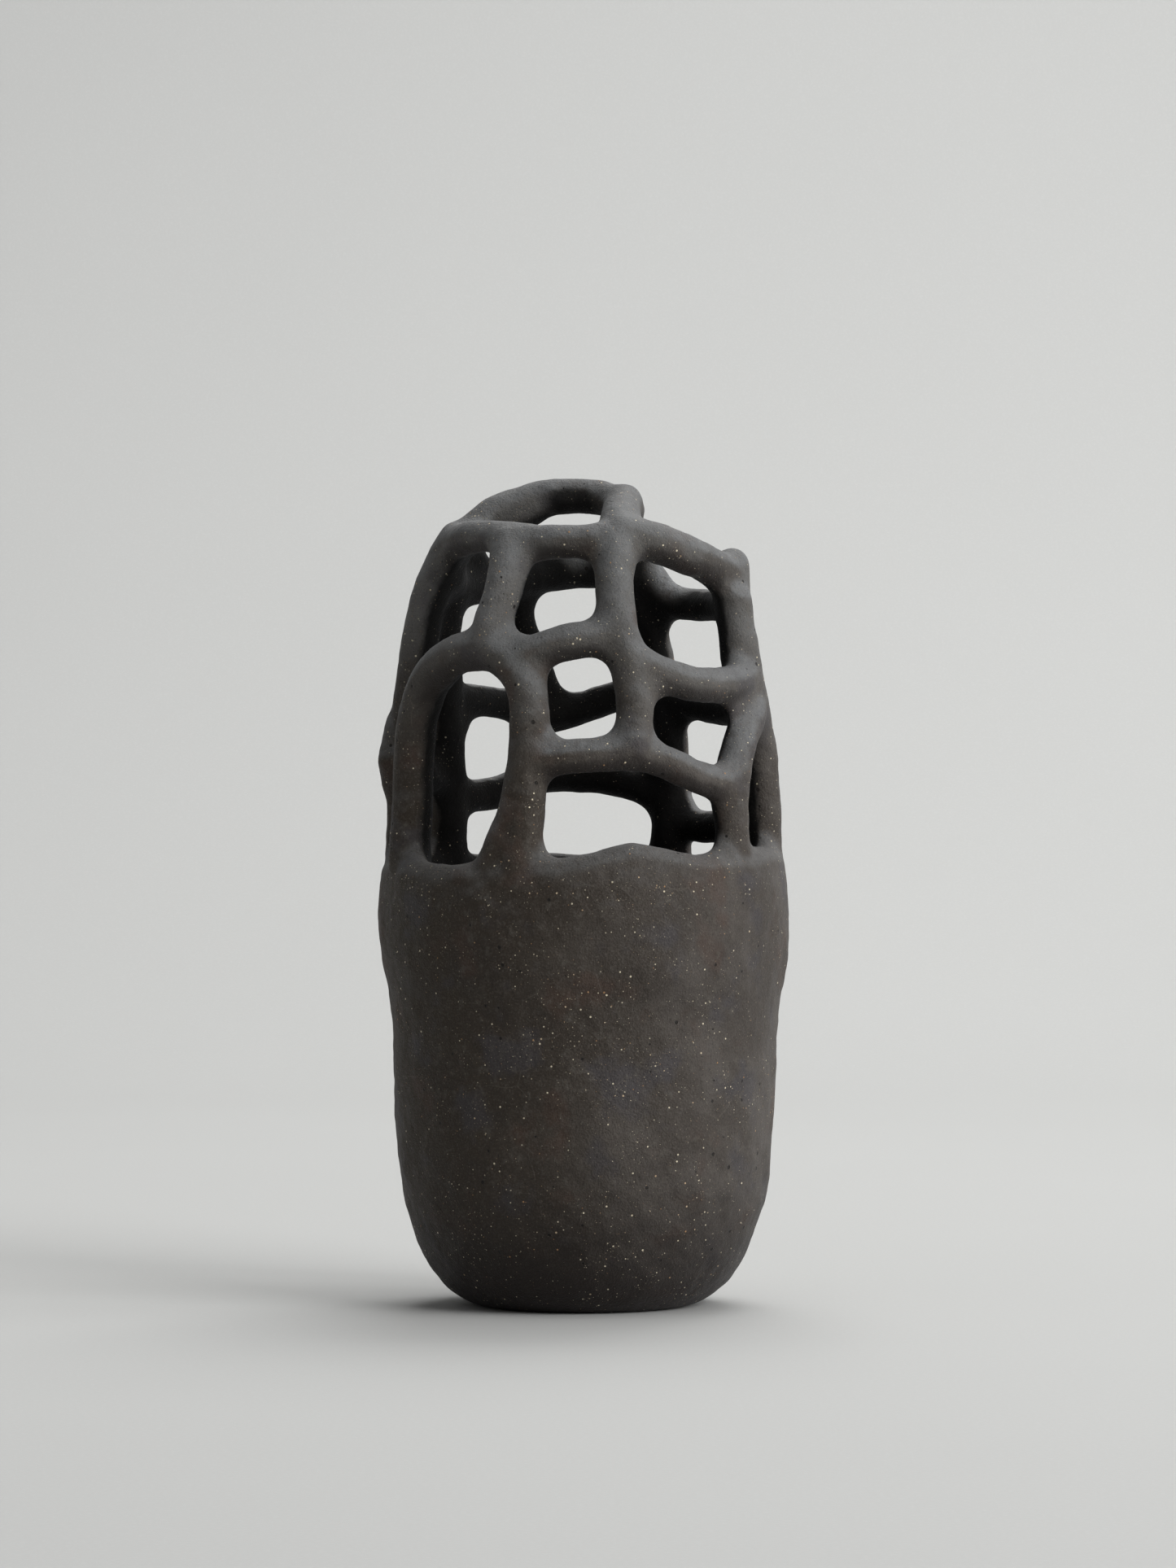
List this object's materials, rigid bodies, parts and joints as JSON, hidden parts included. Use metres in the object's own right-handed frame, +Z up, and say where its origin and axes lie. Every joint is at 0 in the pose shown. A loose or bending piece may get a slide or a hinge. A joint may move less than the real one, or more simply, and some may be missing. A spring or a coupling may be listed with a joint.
{
  "type": "coil-built clay vase",
  "caption": "Tall black clay vase: a solid round-bottomed cup that rises into an open dome of rolled clay coils with irregular windows.",
  "frame": {"origin": "middle of the flat foot, on the surface that the vase stands on", "axes": "+Z up along the vase's height; the front, with the tall arched window at its left, faces -Y; +X is the right"},
  "size_m": [0.0989, 0.0988, 0.1998],
  "materials": {
    "black_clay": "matte"
  },
  "bodies": {
    "root": {"floor_disc": "black_clay", "cup_wall": "black_clay", "rim_band": "black_clay", "left_arch": "black_clay", "right_upright": "black_clay", "left_side_post": "black_clay", "right_front_post": "black_clay", "lower_front_bar": "black_clay", "front_spine": "black_clay", "ridge_arch": "black_clay", "front_top_bar": "black_clay", "upper_left_strut": "black_clay", "upper_cross_strut": "black_clay", "mid_right_bar": "black_clay", "upper_right_bar": "black_clay", "back_spine": "black_clay", "back_top_bar": "black_clay", "right_top_link": "black_clay", "back_left_post": "black_clay", "back_mid_bar": "black_clay", "back_low_bar": "black_clay", "right_mid_link": "black_clay", "right_low_link": "black_clay", "left_link": "black_clay", "back_diagonal_strut": "black_clay", "back_short_strut": "black_clay"}
  },
  "joints": []
}
